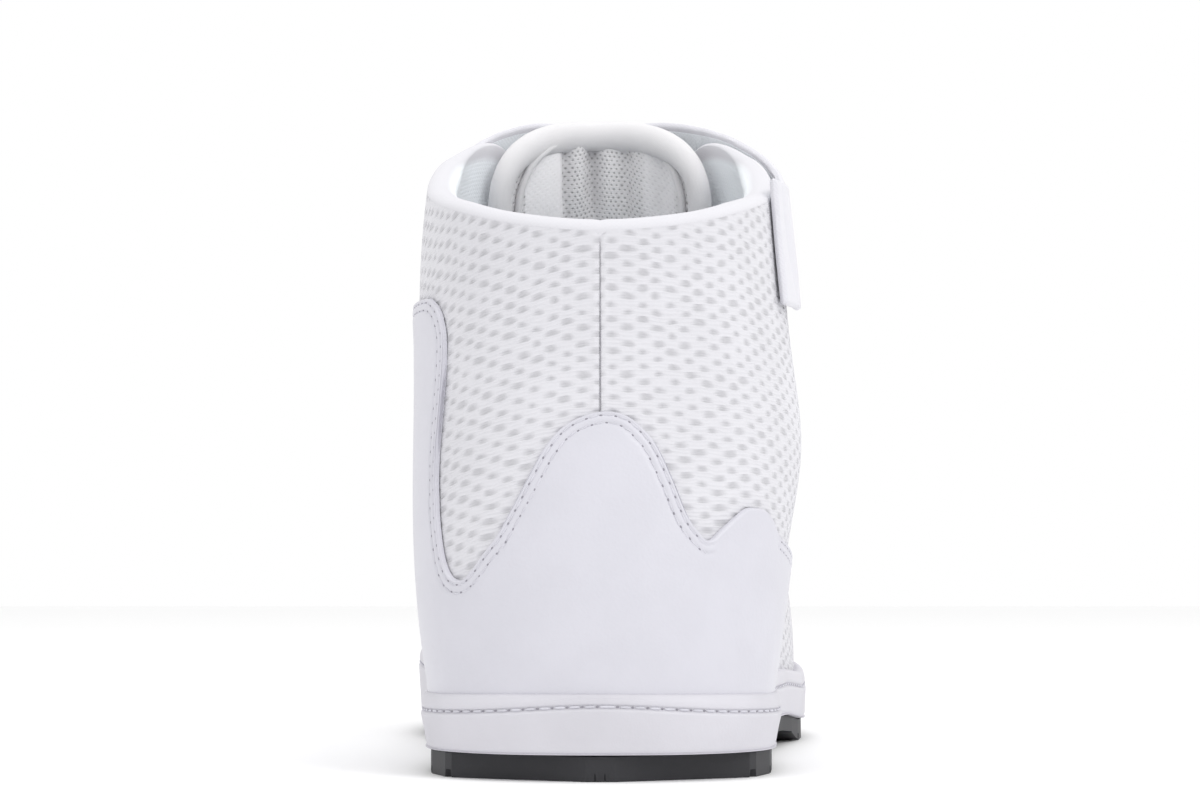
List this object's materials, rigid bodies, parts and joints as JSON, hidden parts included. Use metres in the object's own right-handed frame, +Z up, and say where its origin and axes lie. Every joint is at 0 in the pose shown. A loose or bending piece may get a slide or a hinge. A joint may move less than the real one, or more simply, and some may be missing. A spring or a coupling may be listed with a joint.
{
  "type": "wrestling shoe",
  "caption": "High-top wrestling shoe for the right foot, with mesh quarters, smooth heel and toe panels, a padded collar and tongue, flat laces, an ankle strap and a stitched cup sole.",
  "frame": {"origin": "middle of the shoe's outline on the floor", "axes": "+Y towards the toe, +X towards the outer (lateral) side, +Z up"},
  "size_m": [0.0994, 0.2894, 0.145],
  "materials": {
    "mesh_fabric": "matte",
    "leather": "satin",
    "lining_fabric": "matte",
    "white_rubber": "satin",
    "black_rubber": "matte",
    "webbing": "matte",
    "eyelet_plastic": "matte"
  },
  "bodies": {
    "root": {"upper": "mesh_fabric", "heel_wrap": "leather", "toe_cap": "leather", "eyestay_outer": "leather", "eyestay_inner": "leather", "tongue": "lining_fabric", "cupsole": "white_rubber", "outsole": "black_rubber", "insole": "lining_fabric", "strap": "webbing", "eyelet_outer_1": "eyelet_plastic", "eyelet_inner_1": "eyelet_plastic", "lace_1": "webbing", "eyelet_outer_2": "eyelet_plastic", "eyelet_inner_2": "eyelet_plastic", "lace_2": "webbing", "eyelet_outer_3": "eyelet_plastic", "eyelet_inner_3": "eyelet_plastic", "lace_3": "webbing", "eyelet_outer_4": "eyelet_plastic", "eyelet_inner_4": "eyelet_plastic", "lace_4": "webbing", "eyelet_outer_5": "eyelet_plastic", "eyelet_inner_5": "eyelet_plastic", "lace_5": "webbing", "eyelet_outer_6": "eyelet_plastic", "eyelet_inner_6": "eyelet_plastic", "lace_6": "webbing"}
  },
  "joints": []
}
